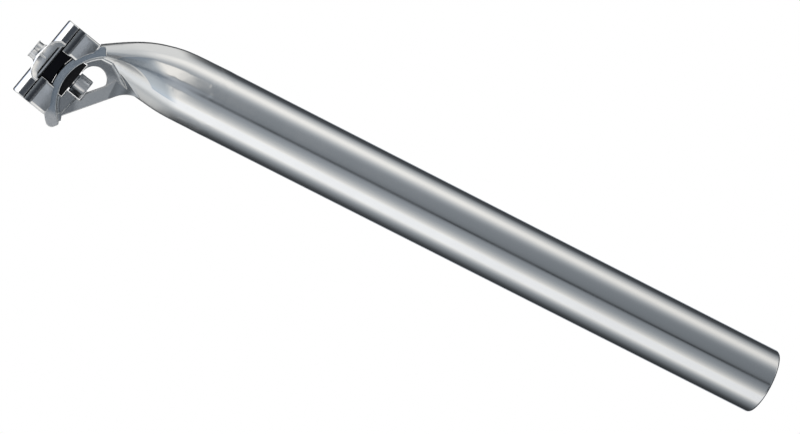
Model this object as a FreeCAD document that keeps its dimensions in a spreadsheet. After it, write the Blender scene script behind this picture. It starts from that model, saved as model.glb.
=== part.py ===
import FreeCAD, Part
import math
import os
import re
import Sketcher
from FreeCAD import Rotation, Vector

os.makedirs("parts", exist_ok=True)

# Bicycle seatpost with a forged head and a one-bolt saddle clamp that rocks on a curved cradle.
# The origin is on the tube's axis at its cut lower end. Z runs up the tube, X to the front of the
# bicycle, Y to its left. The clamp is drawn about the cradle's centre and then tilted with the saddle.

doc = FreeCAD.newDocument("Seatpost")

SIZES = {
    # tube: the post's length is taken from its cut end to the centre of the cradle's curve
    "post_length": 321.0,
    "tube_radius": 15.45,
    "tube_wall": 2.25,
    "bore_end": 49.0,
    "bore_nose_height": 18.0,
    "bore_nose_radius": 7.0,
    "tube_chamfer": 0.9,
    "tube_chamfer_shoulder": 0.28,
    # neck, where the tube thins towards the head: rises over its start, and how much less than the
    # tube it measures in front, behind and to each side
    "neck_length": 37.0,
    "neck_blend": 8.0,
    "neck_a_rise": 8.0,
    "neck_a_front_inset": 0.1,
    "neck_a_rear_inset": 0.05,
    "neck_a_half_inset": 0.05,
    "neck_b_rise": 17.0,
    "neck_b_front_inset": 0.65,
    "neck_b_rear_inset": 0.45,
    "neck_b_half_inset": 0.25,
    "neck_c_rise": 25.0,
    "neck_c_front_inset": 2.25,
    "neck_c_rear_inset": 1.55,
    "neck_c_half_inset": 0.65,
    "neck_d_rise": 33.0,
    "neck_d_front_inset": 4.85,
    "neck_d_rear_inset": 2.85,
    "neck_d_half_inset": 1.35,
    "neck_e_rise": 41.0,
    "neck_e_front_inset": 8.85,
    "neck_e_rear_inset": 4.85,
    "neck_e_half_inset": 2.25,
    "neck_f_rise": 46.5,
    "neck_f_front_inset": 12.15,
    "neck_f_rear_inset": 6.25,
    "neck_f_half_inset": 2.95,
    "neck_top_rise": 51.0,
    "neck_top_front_inset": 15,
    "neck_top_rear_inset": 7.45,
    "neck_top_half_inset": 3.75,
    # cradle, a curved plate about its own centre behind and below the rails, with a lip at each end
    "cradle_setback": 23.0,
    "cradle_radius": 25.3,
    "cradle_wall": 3.9,
    "cradle_half": 13.2,
    "cradle_front_angle": 26.7,
    "front_lip": 0.8,
    "front_lip_angle": 32.4,
    "front_lip_run": 1.6,
    "front_round": 0.9,
    "front_round_run": 2.0,
    "rear_lip": 1.45,
    "rear_lip_start_angle": 119.4,
    "rear_lip_run": 3.4,
    "rear_lip_angle": 131.8,
    "nose_round": 2.6,
    "nose_outer_drop": 0.9,
    "nose_angle": 137.5,
    "nose_inner_rise": 1.3,
    "nose_inner_round": 1.4,
    "nose_inner_angle": 134.6,
    "cradle_chamfer": 0.4,
    # gusset under the cradle, placed from the cradle's centre: a bar to the tube, and thinner side
    # plates round a window
    "bar_half": 11.0,
    "plate_half": 9.2,
    "bar_outer_behind": 12.1,
    "bar_outer_rise": 15.3,
    "bar_outer_ahead": 5.9,
    "bar_outer_drop": 1.7,
    "bar_foot_inset": 2.15,
    "bar_foot_drop": 11.5,
    "bar_foot_round": 12.4,
    "bar_foot_half": 4.5,
    "bar_flare_round": 20.0,
    "bar_flare_rise": 1.0,
    "bar_tail_depth": 1.0,
    "bar_tail_angle": 134.0,
    "bar_edge_round": 0.5,
    "bar_inner_start": 9.1,
    "bar_inner_end": 21.6,
    "bar_start_inset": 1.9,
    "bar_thickness": 5.6,
    "bar_peak_inset": 9.1,
    "bar_peak_rise": 1.4,
    "gusset_front": 3.2,
    "recess_tip_inset": 11.0,
    "recess_tip_drop": 6.4,
    "recess_front_angle": 31.0,
    "recess_rear_angle": 124.5,
    "recess_front_rise": 5.8,
    "recess_round": 1.4,
    "window_radius": 5.9,
    "window_ahead": 8.0,
    "window_rise": 9.9,
    "channel_half": 6.0,
    "channel_wall": 2.5,
    "channel_front_angle": 36.0,
    "channel_rear_angle": 119.0,
    "channel_mouth_behind": 7.7,
    "channel_mouth_ahead": 2.8,
    "channel_mouth_drop": 4.0,
    "channel_foot_ahead": 6.5,
    "channel_foot_rise": 0.6,
    "relief_gap": 0.35,
    # slot through the cradle for the bolt
    "slot_clearance": 0.3,
    "slot_end_clearance": 0.4,
    "slot_overcut": 4.4,
    "tilt_up": 10.0,
    "tilt_down": 12.0,
    # clamp
    "clamp_tilt": 12.4,
    "clamp_half_length": 19.1,
    "rail_spacing": 44.0,
    "rail_radius": 3.5,
    "rail_rise": 4.7,
    "clamp_gap": 0.45,
    "cradle_clearance": 0.2,
    # lower clamp
    "ear_inner": 14.9,
    "ear_drop": 6.3,
    "ear_wrap_radius": 5.8,
    "ear_wrap_drop": 3.4,
    "skirt_inset": 1.3,
    "skirt_clearance": 0.4,
    "bridge_half_length": 13.0,
    "notch_half": 6.9,
    "notch_depth_from": 7.0,
    "notch_corner_round": 1.4,
    "ear_end_round": 1.4,
    # upper clamp
    "plate_thickness": 3.2,
    "clamp_waist_half": 12.5,
    "clamp_waist_width": 15.2,
    "waist_round": 2.5,
    "shell_radius": 5.8,
    "shell_chamfer": 0.45,
    "rib_half": 10.0,
    "rib_height": 6.15,
    "rib_shoulder": 2.6,
    "rib_crown_half": 5.0,
    "rib_round": 7.0,
    "rib_crown_round": 26.0,
    "rib_outer": 28.6,
    "rib_relief_half": 8.6,
    "rib_relief_top_half": 6.6,
    "rib_relief_height": 2.25,
    "rib_relief_inner": 18.5,
    "rib_chamfer": 0.55,
    "rib_mark_half": 0.22,
    "rib_mark_foot": 3.4,
    "rib_mark_depth": 0.35,
    # bolt
    "bolt_radius": 3.0,
    "bolt_hole_clearance": 0.3,
    "bolt_head_radius": 4.85,
    "bolt_head_height": 6.3,
    "bolt_head_edge": 0.25,
    "bolt_collar_radius": 3.6,
    "bolt_collar_height": 0.7,
    "bolt_socket_flats": 5.0,
    "bolt_socket_depth": 3.6,
    "bolt_chamfer": 0.5,
    "bolt_end_inset": 0.9,
    # half-moon washer
    "washer_half_length": 8.6,
    "washer_half_width": 5.7,
    "washer_thickness": 3.7,
    "washer_clearance": 0.15,
    "washer_end_round": 0.4,
    # nut
    "nut_radius": 4.1,
    "nut_lip": 0.2,
    "nut_lip_height": 0.6,
    "nut_height": 4.3,
    "nut_skirt_radius": 5.8,
    "nut_skirt_height": 2.0,
    "nut_flare_radius": 4.7,
    "nut_flare_height": 0.9,
    "nut_seat_depth": 0.35,
    "nut_seat_clearance": 0.2,
    "nut_thread_clearance": 0.05,
    "nut_tongue_half": 4.2,
    "nut_tongue_depth": 2.8,
    "nut_tongue_clearance": 0.12,
    # saw cuts and cutters run this far past what they cut
    "overrun": 20.0,
}

sheet = doc.addObject("Spreadsheet::Sheet", "Sizes")
for row, (alias, size) in enumerate(SIZES.items(), start=1):
    sheet.set("A%d" % row, alias)
    sheet.set("B%d" % row, str(size))
    sheet.setAlias("B%d" % row, alias)
doc.recompute()


# Sizes that follow from others.
RULES = {
    "inner_radius": "(cradle_radius-cradle_wall)",
    "rail_axis": "(cradle_radius+rail_rise)",
    "ear_wrap_bottom": "(rail_axis-ear_wrap_drop)",
    "ear_bottom": "(cradle_radius-ear_drop)",
    "skirt_radius": "(cradle_radius-skirt_inset)",
    "washer_bottom": "(inner_radius-washer_thickness)",
    "slot_foot": "(inner_radius-slot_overcut)",
}


def expand_word(match):
    word = match.group()
    if word in RULES:
        return expand(RULES[word])
    return "Sizes." + word if word in SIZES else word


def expand(text):
    """Write a size rule with bare names as one that names the sheet."""
    return re.sub("[a-z][a-z_]+", expand_word, text)


def value(text):
    """The number that a size rule gives now."""
    found = sheet.evalExpression(expand(text))
    return float(getattr(found, "Value", found))


def bind(thing, field, text):
    """Tie a field of an object to a size rule."""
    thing.setExpression(field, expand(text))


def pin(sketch, curve, end, place):
    """Hold a point of a sketch at the place that two size rules give."""
    for rule, kind, axis in ((place[0], "DistanceX", -2), (place[1], "DistanceY", -1)):
        if rule == "0":
            sketch.addConstraint(Sketcher.Constraint("PointOnObject", curve, end, axis))
        else:
            index = sketch.addConstraint(Sketcher.Constraint(kind, -1, 1, curve, end, value(rule)))
            sketch.setExpression("Constraints[%d]" % index, expand(rule))


def arc_centre(start, end, radius, turn):
    """Centre of the arc from start to end that turns left or right, under half a circle."""
    chord = end.sub(start)
    half = chord.Length / 2
    rise = math.sqrt(max(radius * radius - half * half, 0))
    side = Vector(-chord.y, chord.x, 0).normalize()
    sign = 1 if turn == "left" else -1
    return start.add(chord.multiply(0.5)).add(side.multiply(sign * rise))


def outline(sketch, corners):
    """Draw a closed outline. A corner is two size rules, and after them an arc's radius rule and its
    turn where the edge to the next corner is an arc."""
    places = [Vector(value(corner[0]), value(corner[1]), 0) for corner in corners]
    edges = []
    for index, corner in enumerate(corners):
        start = places[index]
        end = places[(index + 1) % len(corners)]
        if len(corner) == 2:
            edges.append((sketch.addGeometry(Part.LineSegment(start, end)), 1, 2))
            continue
        radius = value(corner[2])
        centre = arc_centre(start, end, radius, corner[3])
        circle = Part.Circle(centre, Vector(0, 0, 1), radius)
        first, last = (start, end) if corner[3] == "left" else (end, start)
        angles = [math.atan2(point.y - centre.y, point.x - centre.x) for point in (first, last)]
        curve = sketch.addGeometry(Part.ArcOfCircle(circle, angles[0], angles[1]))
        edges.append((curve, 1, 2) if corner[3] == "left" else (curve, 2, 1))
        bound = sketch.addConstraint(Sketcher.Constraint("Radius", curve, radius))
        sketch.setExpression("Constraints[%d]" % bound, expand(corner[2]))
    for index, corner in enumerate(corners):
        curve, start, _ = edges[index]
        before, _, end = edges[index - 1]
        sketch.addConstraint(Sketcher.Constraint("Coincident", before, end, curve, start))
        pin(sketch, curve, start, corner)


def ring(sketch, place, radius):
    """Draw a full circle at a place."""
    centre = Vector(value(place[0]), value(place[1]), 0)
    curve = sketch.addGeometry(Part.Circle(centre, Vector(0, 0, 1), value(radius)))
    pin(sketch, curve, 3, place)
    bound = sketch.addConstraint(Sketcher.Constraint("Radius", curve, value(radius)))
    sketch.setExpression("Constraints[%d]" % bound, expand(radius))


def mirrored(corners):
    """An outline that runs up the positive side, closed by its own mirror image across the vertical."""
    back = []
    for index in range(len(corners) - 1, -1, -1):
        corner = corners[index]
        arc = corners[index - 1][2:] if index > 0 else ()
        back.append(("-(" + corner[0] + ")", corner[1]) + tuple(arc))
    return list(corners) + back


SIDE_VIEW = Rotation(Vector(1, 0, 0), 90)
END_VIEW = Rotation(Vector(1, 1, 1), 120)


def side_prism(name, corners, half, tilted=False):
    """A prism across the post, drawn in the side view, from -half to half in Y."""
    sketch = doc.addObject("Sketcher::SketchObject", name + "_outline")
    sketch.Placement = FreeCAD.Placement(Vector(), SIDE_VIEW)
    if tilted:
        bind(sketch, "Placement.Base.x", "-cradle_setback")
        bind(sketch, "Placement.Base.z", "post_length")
        tilt = Rotation(Vector(0, 1, 0), value("clamp_tilt"))
        sketch.Placement = FreeCAD.Placement(sketch.Placement.Base, tilt.multiply(SIDE_VIEW))
    outline(sketch, corners)
    prism = doc.addObject("Part::Extrusion", name)
    prism.Base = sketch
    prism.DirMode = "Normal"
    prism.Solid = True
    prism.Symmetric = True
    bind(prism, "LengthFwd", "2*(" + half + ")")
    return prism


def joined(name, pieces):
    fuse = doc.addObject("Part::MultiFuse", name)
    fuse.Shapes = pieces
    fuse.Refine = True
    return fuse


def common(name, pieces):
    shared = doc.addObject("Part::MultiCommon", name)
    shared.Shapes = pieces
    return shared


def cut(name, base, tool):
    """Take a tool out of a base, and make sure that it took something."""
    less = doc.addObject("Part::Cut", name)
    less.Base = base
    less.Tool = tool
    doc.recompute()
    if less.Shape.Volume >= base.Shape.Volume:
        raise ValueError(name + " cuts nothing")
    return less


def eased(name, base, radius, wanted, kind="Part::Fillet"):
    """Round or chamfer the edges that a test picks."""
    doc.recompute()
    size = value(radius)
    chosen = [number for number, edge in enumerate(base.Shape.Edges, start=1) if wanted(edge)]
    if not chosen:
        raise ValueError(name + " finds no edge")
    feature = doc.addObject(kind, name)
    feature.Base = base
    feature.Edges = [(number, size, size) for number in chosen]
    doc.recompute()
    return feature


def near(number, target, slack=0.05):
    return abs(number - target) < slack


def flat_in_y(edge, target):
    """True where an edge lies in the plane y = target, on either side."""
    box = edge.BoundBox
    return near(abs(box.YMin), target) and near(abs(box.YMax), target) and box.YMin * box.YMax > 0


# The post: a tube that thins into a neck, which carries a curved cradle and an open gusset below it.


def about_cradle(radius, angle):
    """Size rules for a point in the side view at a radius and an angle about the cradle's centre."""
    return (
        "-cradle_setback+(%s)*cos(%s)" % (radius, angle),
        "post_length+(%s)*sin(%s)" % (radius, angle),
    )


def from_cradle(ahead, up):
    """Size rules for a point in the side view, given how far it is ahead of and above the centre."""
    return ("-cradle_setback+(%s)" % ahead, "post_length+(%s)" % up)


def neck_section(step, height, front, rear, half):
    """One oval section of the neck, its long way across the post."""
    section = doc.addObject("Part::Ellipse", "neck_section_" + step)
    depth = "(%s+%s)/2" % (front, rear)
    across = value(half) >= value(depth)
    bind(section, "MajorRadius", half if across else depth)
    bind(section, "MinorRadius", depth if across else half)
    section.Placement = FreeCAD.Placement(Vector(), Rotation(Vector(0, 0, 1), 90 if across else 0))
    bind(section, "Placement.Base.x", "(%s-%s)/2" % (front, rear))
    bind(section, "Placement.Base.z", height)
    return section


NECK_START = "(post_length-neck_length)"
tube_profile = doc.addObject("Sketcher::SketchObject", "tube_profile")
tube_profile.Placement = FreeCAD.Placement(Vector(), SIDE_VIEW)
outline(
    tube_profile,
    [
        ("0", "0"),
        ("tube_radius-tube_chamfer", "0"),
        ("tube_radius-tube_chamfer_shoulder", "tube_chamfer_shoulder"),
        ("tube_radius", "tube_chamfer"),
        ("tube_radius", NECK_START + "-neck_blend"),
        ("0", NECK_START + "-neck_blend"),
    ],
)
tube = doc.addObject("Part::Revolution", "tube")
tube.Source = tube_profile
tube.Axis = Vector(0, 0, 1)
tube.Angle = 360
tube.Solid = True

round_sections = [
    neck_section("foot", NECK_START + "-neck_blend", "tube_radius", "tube_radius", "tube_radius"),
    neck_section("start", NECK_START, "tube_radius", "tube_radius", "tube_radius"),
]
oval_sections = [
    neck_section(
        step,
        NECK_START + "+neck_%s_rise" % step,
        "(tube_radius-neck_%s_front_inset)" % step,
        "(tube_radius-neck_%s_rear_inset)" % step,
        "(tube_radius-neck_%s_half_inset)" % step,
    )
    for step in ("a", "b", "c", "d", "e", "f", "top")
]
neck_loft = doc.addObject("Part::Loft", "neck_loft")
neck_loft.Sections = round_sections + oval_sections
neck_loft.Solid = True

# The flat sides of the head, forged in on both sides between cradle, neck and bar.
BAR_RISE = "(bar_outer_rise+bar_outer_drop)"
BAR_RUN = "(bar_outer_behind+bar_outer_ahead)"
BAR_LENGTH = "sqrt(" + BAR_RISE + "^2+" + BAR_RUN + "^2)"


def along_bar(distance):
    """A point on the bar's inner face, this far along the bar from its rear end."""
    return from_cradle(
        "-bar_outer_behind+(%s*%s+bar_thickness*%s)/%s" % (BAR_RUN, distance, BAR_RISE, BAR_LENGTH),
        "bar_outer_rise-(%s*%s-bar_thickness*%s)/%s" % (BAR_RISE, distance, BAR_RUN, BAR_LENGTH),
    )


bar_inner_rear = along_bar("bar_inner_start")
bar_inner_front = along_bar("bar_inner_end")
bar_start = about_cradle("inner_radius-bar_start_inset", "recess_rear_angle")
bar_outer_rear = from_cradle("-bar_outer_behind", "bar_outer_rise")
bar_outer_front = from_cradle("bar_outer_ahead", "-bar_outer_drop")
BAR_PEAK_AHEAD = "(inner_radius-bar_peak_inset)"
bar_peak = from_cradle(BAR_PEAK_AHEAD, "bar_peak_rise")
tip = from_cradle("inner_radius-recess_tip_inset", "-recess_tip_drop")
cradle_joint = about_cradle("inner_radius", "recess_front_angle")
flange = (cradle_joint[0], "post_length+recess_front_rise")
cradle_rear = about_cradle("inner_radius", "recess_rear_angle")

recess_outline = [
    cradle_joint + ("inner_radius", "left"),
    cradle_rear,
    bar_start,
    bar_inner_rear,
    bar_inner_front,
    bar_peak,
    tip,
    flange,
]
recess_far = side_prism("recess_far", recess_outline, "bar_half+overrun")
recess_core = side_prism("recess_core", recess_outline, "plate_half")
recess = cut("recess", recess_far, recess_core)
neck = cut("neck", neck_loft, recess)

BAR_FOOT = "post_length-bar_foot_drop"
gusset_outline = [
    bar_outer_rear,
    bar_outer_front + ("bar_foot_round", "right"),
    ("bar_foot_inset-tube_radius", BAR_FOOT),
    ("-gusset_front", BAR_FOOT),
    ("-gusset_front", "post_length+recess_front_rise"),
    about_cradle("cradle_radius-cradle_wall/2", "recess_front_angle")
    + ("cradle_radius-cradle_wall/2", "left"),
    about_cradle("cradle_radius-cradle_wall/2", "bar_tail_angle"),
    about_cradle("inner_radius-bar_tail_depth", "bar_tail_angle"),
]
foot_view_corners = [
    ("bar_foot_half", BAR_FOOT, "bar_flare_round", "left"),
    ("bar_half", "post_length+bar_flare_rise"),
    ("bar_half", "post_length+cradle_radius"),
]
foot_view = doc.addObject("Sketcher::SketchObject", "foot_view")
foot_view.Placement = FreeCAD.Placement(Vector(), END_VIEW)
outline(foot_view, mirrored(foot_view_corners))
foot_prism = doc.addObject("Part::Extrusion", "foot_prism")
foot_prism.Base = foot_view
foot_prism.DirMode = "Normal"
foot_prism.Solid = True
foot_prism.Symmetric = True
bind(foot_prism, "LengthFwd", "4*cradle_radius")

gusset_block = side_prism("gusset_block", gusset_outline, "bar_half")
gusset_shaped = common("gusset_shaped", [gusset_block, foot_prism])
gusset_thinned = cut("gusset_thinned", gusset_shaped, recess)


def on_bar_rim(edge):
    """True for the long edges along the bar's sides."""
    return flat_in_y(edge, value("bar_half")) and edge.Length > value("bar_inner_start")


gusset = eased("gusset", gusset_thinned, "bar_edge_round", on_bar_rim)

REAR_LIP = "(cradle_radius+rear_lip)"
FRONT_LIP = "(cradle_radius+front_lip)"
cradle_outline = [
    about_cradle("inner_radius", "cradle_front_angle"),
    about_cradle(FRONT_LIP + "-front_round", "cradle_front_angle") + ("front_round", "left"),
    about_cradle(FRONT_LIP, "cradle_front_angle+front_round_run") + (FRONT_LIP, "left"),
    about_cradle(FRONT_LIP, "front_lip_angle"),
    about_cradle("cradle_radius", "front_lip_angle+front_lip_run") + ("cradle_radius", "left"),
    about_cradle("cradle_radius", "rear_lip_start_angle"),
    about_cradle(REAR_LIP, "rear_lip_start_angle+rear_lip_run") + (REAR_LIP, "left"),
    about_cradle(REAR_LIP, "rear_lip_angle") + ("nose_round", "left"),
    about_cradle("cradle_radius-nose_outer_drop", "nose_angle"),
    about_cradle("inner_radius+nose_inner_rise", "nose_angle") + ("nose_inner_round", "left"),
    about_cradle("inner_radius", "nose_inner_angle") + ("inner_radius", "right"),
]
cradle_sharp = side_prism("cradle_sharp", cradle_outline, "cradle_half")


def on_cradle_rim(edge):
    """True for the two long arcs on each side of the cradle."""
    return flat_in_y(edge, value("cradle_half")) and edge.Length > value("cradle_radius")


cradle = eased("cradle", cradle_sharp, "cradle_chamfer", on_cradle_rim, "Part::Chamfer")

head_sharp = joined("head_sharp", [tube, neck, gusset, cradle])


def from_centre(edge):
    """Where the middle of an edge lies, ahead of and above the cradle's centre."""
    middle = edge.valueAt((edge.FirstParameter + edge.LastParameter) / 2)
    return middle.x + value("cradle_setback"), middle.z - value("post_length")


def in_recess_corner(edge):
    """True for the inside corner of a recess, along the cradle, the flange and down to the tip."""
    if not flat_in_y(edge, value("plate_half")):
        return False
    ahead, up = from_centre(edge)
    along_cradle = near(math.hypot(ahead, up), value("inner_radius"))
    along_neck = ahead > value(BAR_PEAK_AHEAD) and abs(up) < value("bar_outer_rise")
    return along_cradle or along_neck


head = eased("head", head_sharp, "recess_round", in_recess_corner)

# The hollows: window, channel under the cradle, relief round bolt and washer, slot and bore.
window_circle = doc.addObject("Part::Cylinder", "window_circle")
bind(window_circle, "Radius", "window_radius")
bind(window_circle, "Height", "2*overrun")
window_circle.Placement = FreeCAD.Placement(Vector(), SIDE_VIEW)
bind(window_circle, "Placement.Base.x", "window_ahead-cradle_setback")
bind(window_circle, "Placement.Base.y", "overrun")
bind(window_circle, "Placement.Base.z", "post_length+window_rise")
bar_keep = side_prism(
    "bar_keep",
    [
        bar_outer_rear,
        bar_outer_front,
        tip,
        bar_peak,
        bar_inner_front,
        bar_inner_rear,
    ],
    "2*overrun",
)
window = cut("window", window_circle, bar_keep)

relief = side_prism(
    "relief",
    [
        ("-washer_half_length-relief_gap", "washer_bottom-relief_gap"),
        ("-bolt_head_radius-relief_gap", "washer_bottom-relief_gap"),
        ("-bolt_head_radius-relief_gap", "washer_bottom-bolt_collar_height-bolt_head_height-relief_gap"),
        ("bolt_head_radius+relief_gap", "washer_bottom-bolt_collar_height-bolt_head_height-relief_gap"),
        ("bolt_head_radius+relief_gap", "washer_bottom-relief_gap"),
        ("washer_half_length+relief_gap", "washer_bottom-relief_gap"),
        (
            "washer_half_length+relief_gap",
            "sqrt(inner_radius^2-(washer_half_length+relief_gap)^2)",
            "inner_radius",
            "left",
        ),
        (
            "-washer_half_length-relief_gap",
            "sqrt(inner_radius^2-(washer_half_length+relief_gap)^2)",
        ),
    ],
    "overrun",
    tilted=True,
)

channel = side_prism(
    "channel",
    [
        about_cradle("inner_radius", "channel_front_angle") + ("inner_radius", "left"),
        about_cradle("inner_radius", "channel_rear_angle"),
        from_cradle("-channel_mouth_behind", "-channel_mouth_drop"),
        from_cradle("channel_mouth_ahead", "-channel_mouth_drop"),
        from_cradle("channel_foot_ahead", "channel_foot_rise"),
        (cradle_joint[0] + "-channel_wall", "post_length+recess_front_rise"),
    ],
    "channel_half",
)


# The slot is milled square to the middle of the bolt's travel, and its round ends clear the bolt there.
SLOT_ANGLE = "(clamp_tilt+(tilt_down-tilt_up)/2)"
SLOT_REACH = "(cradle_radius*tan((tilt_up+tilt_down)/2)+slot_end_clearance)"
SLOT_HALF = "(bolt_radius+slot_clearance)"
slot_sketch = doc.addObject("Sketcher::SketchObject", "slot_outline")
slot_sketch.Placement = FreeCAD.Placement(Vector(), Rotation(Vector(0, 1, 0), value(SLOT_ANGLE)))
bind(slot_sketch, "Placement.Base.x", "slot_foot*sin(%s)-cradle_setback" % SLOT_ANGLE)
bind(slot_sketch, "Placement.Base.z", "slot_foot*cos(%s)+post_length" % SLOT_ANGLE)
outline(
    slot_sketch,
    [
        (SLOT_REACH, "-" + SLOT_HALF, SLOT_HALF, "left"),
        (SLOT_REACH + "+" + SLOT_HALF, "0", SLOT_HALF, "left"),
        (SLOT_REACH, SLOT_HALF),
        ("-" + SLOT_REACH, SLOT_HALF, SLOT_HALF, "left"),
        ("-(" + SLOT_REACH + "+" + SLOT_HALF + ")", "0", SLOT_HALF, "left"),
        ("-" + SLOT_REACH, "-" + SLOT_HALF),
    ],
)
slot = doc.addObject("Part::Extrusion", "slot")
slot.Base = slot_sketch
slot.DirMode = "Normal"
slot.Solid = True
bind(slot, "LengthFwd", "cradle_radius")

bore_low = doc.addObject("Part::Cylinder", "bore_low")
bind(bore_low, "Radius", "tube_radius-tube_wall")
bind(bore_low, "Height", "post_length-bore_end")
bore_nose = doc.addObject("Part::Cone", "bore_nose")
bind(bore_nose, "Radius1", "tube_radius-tube_wall")
bind(bore_nose, "Radius2", "bore_nose_radius")
bind(bore_nose, "Height", "bore_nose_height")
bind(bore_nose, "Placement.Base.z", "post_length-bore_end")
bore = joined("bore", [bore_low, bore_nose])

hollows = joined("hollows", [window, relief, channel, slot, bore])
post = cut("post", head, hollows)


def new_body(name):
    """A body drawn about the cradle's centre and tilted with the clamp."""
    body = doc.addObject("PartDesign::Body", name)
    body.Placement = FreeCAD.Placement(Vector(), Rotation(Vector(0, 1, 0), 0))
    bind(body, "Placement.Base.x", "-cradle_setback")
    bind(body, "Placement.Base.z", "post_length")
    bind(body, "Placement.Rotation.Angle", "clamp_tilt")
    return body


def on_plane(body, name, role, offset=None):
    """An empty sketch on one of the body's own planes, or parallel to it."""
    sketch = body.newObject("Sketcher::SketchObject", name)
    plane = [feature for feature in body.Origin.OriginFeatures if feature.Role == role][0]
    sketch.AttachmentSupport = [(plane, "")]
    sketch.MapMode = "FlatFace"
    if offset:
        bind(sketch, "AttachmentOffset.Base.z", offset)
    return sketch


def pad(body, sketch, length, symmetric=True, reverse=False):
    """Add the prism of a sketch to the body."""
    feature = body.newObject("PartDesign::Pad", sketch.Name + "_pad")
    feature.Profile = sketch
    feature.SideType = "Symmetric" if symmetric else "One side"
    feature.Reversed = reverse
    bind(feature, "Length", length)
    doc.recompute()
    return feature


def pocket(body, sketch, length, symmetric=True, reverse=False):
    """Cut the prism of a sketch from the body, and make sure that it cuts."""
    before = body.Shape.Volume
    feature = body.newObject("PartDesign::Pocket", sketch.Name + "_cut")
    feature.Profile = sketch
    feature.Type = "Length"
    feature.SideType = "Symmetric" if symmetric else "One side"
    feature.Reversed = reverse
    bind(feature, "Length", length)
    doc.recompute()
    if body.Shape.Volume >= before:
        raise ValueError(sketch.Name + " cuts nothing")
    return feature


def revolve(body, sketch):
    """Turn a sketch about the body's upright axis."""
    feature = body.newObject("PartDesign::Revolution", sketch.Name + "_turned")
    feature.Profile = sketch
    axis = [thing for thing in body.Origin.OriginFeatures if thing.Role == "Z_Axis"][0]
    feature.ReferenceAxis = (axis, [""])
    feature.Angle = 360
    doc.recompute()
    return feature


def soften(body, name, radius, wanted, kind="Fillet"):
    """Round or chamfer the edges of the body that a test picks, in the body's own frame."""
    base = body.Tip
    names = ["Edge%d" % n for n, edge in enumerate(base.Shape.Edges, start=1) if wanted(edge)]
    if not names:
        raise ValueError(name + " finds no edge")
    feature = body.newObject("PartDesign::" + kind, name)
    feature.Base = (base, names)
    bind(feature, "Radius" if kind == "Fillet" else "Size", radius)
    doc.recompute()
    return feature


# The lower clamp: two rail channels joined by a bridge that sits on the cradle.
GROOVE_HALF = "sqrt(rail_radius^2-(clamp_gap/2)^2)"
WRAP_TOP = "sqrt(ear_wrap_radius^2-(clamp_gap/2)^2)"
WRAP_FOOT = "sqrt(ear_wrap_radius^2-(rail_axis-ear_wrap_bottom)^2)"
LOWER_TOP = "rail_axis-clamp_gap/2"

lower_clamp = new_body("lower_clamp")
lower_profile = on_plane(lower_clamp, "lower_profile", "YZ_Plane")
outline(
    lower_profile,
    mirrored(
        [
            ("ear_inner", "0"),
            ("rail_spacing/2+" + WRAP_FOOT, "0"),
            ("rail_spacing/2+" + WRAP_FOOT, "ear_wrap_bottom", "ear_wrap_radius", "left"),
            ("rail_spacing/2+" + WRAP_TOP, LOWER_TOP),
            ("rail_spacing/2+" + GROOVE_HALF, LOWER_TOP, "rail_radius", "right"),
            ("rail_spacing/2", "rail_axis-rail_radius", "rail_radius", "right"),
            ("rail_spacing/2-" + GROOVE_HALF, LOWER_TOP),
        ]
    ),
)
pad(lower_clamp, lower_profile, "2*clamp_half_length")

# Underside: on the cradle inside the ears, a little lower beside it, and flat out to the ends.
seat_cut = on_plane(lower_clamp, "seat_cut", "XZ_Plane")
ring(seat_cut, ("0", "0"), "cradle_radius+cradle_clearance")
pocket(lower_clamp, seat_cut, "2*(cradle_half+skirt_clearance)")
skirt_cut = on_plane(lower_clamp, "skirt_cut", "XZ_Plane")
ring(skirt_cut, ("0", "0"), "skirt_radius")
pocket(lower_clamp, skirt_cut, "4*rail_spacing")
bottom_cut = on_plane(lower_clamp, "bottom_cut", "XZ_Plane")
outline(
    bottom_cut,
    [
        ("-clamp_half_length-overrun", "-overrun"),
        ("clamp_half_length+overrun", "-overrun"),
        ("clamp_half_length+overrun", "ear_bottom"),
        ("-clamp_half_length-overrun", "ear_bottom"),
    ],
)
pocket(lower_clamp, bottom_cut, "4*rail_spacing")

# In plan, the bridge is shorter than the ears, and a notch parts the ears of each side.
bridge_trim = on_plane(lower_clamp, "bridge_trim", "XY_Plane")
for_side = (1, -1)
for side in for_side:
    sign = "" if side > 0 else "-"
    outline(
        bridge_trim,
        [
            (sign + "bridge_half_length", "-ear_inner"),
            (sign + "(clamp_half_length+overrun)", "-ear_inner"),
            (sign + "(clamp_half_length+overrun)", "ear_inner"),
            (sign + "bridge_half_length", "ear_inner"),
        ],
    )
pocket(lower_clamp, bridge_trim, "4*rail_axis")
notch = on_plane(lower_clamp, "notch", "XY_Plane")
for side in for_side:
    sign = "" if side > 0 else "-"
    outline(
        notch,
        [
            ("-notch_half", sign + "notch_depth_from"),
            ("notch_half", sign + "notch_depth_from"),
            ("notch_half", sign + "(rail_spacing+overrun)"),
            ("-notch_half", sign + "(rail_spacing+overrun)"),
        ],
    )
pocket(lower_clamp, notch, "4*rail_axis")
lower_hole = on_plane(lower_clamp, "lower_hole", "XY_Plane")
ring(lower_hole, ("0", "0"), "bolt_radius+bolt_hole_clearance")
pocket(lower_clamp, lower_hole, "4*rail_axis")


def upright(edge):
    """True for a straight edge that runs up the clamp."""
    box = edge.BoundBox
    return near(box.XLength, 0) and near(box.YLength, 0)


soften(
    lower_clamp,
    "lower_clamp_corners",
    "notch_corner_round",
    lambda edge: upright(edge)
    and near(abs(edge.BoundBox.XMin), value("notch_half"))
    and abs(edge.BoundBox.YMin) > value("rail_spacing/2"),
)
soften(
    lower_clamp,
    "lower_clamp_ends",
    "ear_end_round",
    lambda edge: upright(edge)
    and near(abs(edge.BoundBox.XMin), value("clamp_half_length"))
    and abs(edge.BoundBox.YMin) > value("rail_spacing/2"),
)

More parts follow.
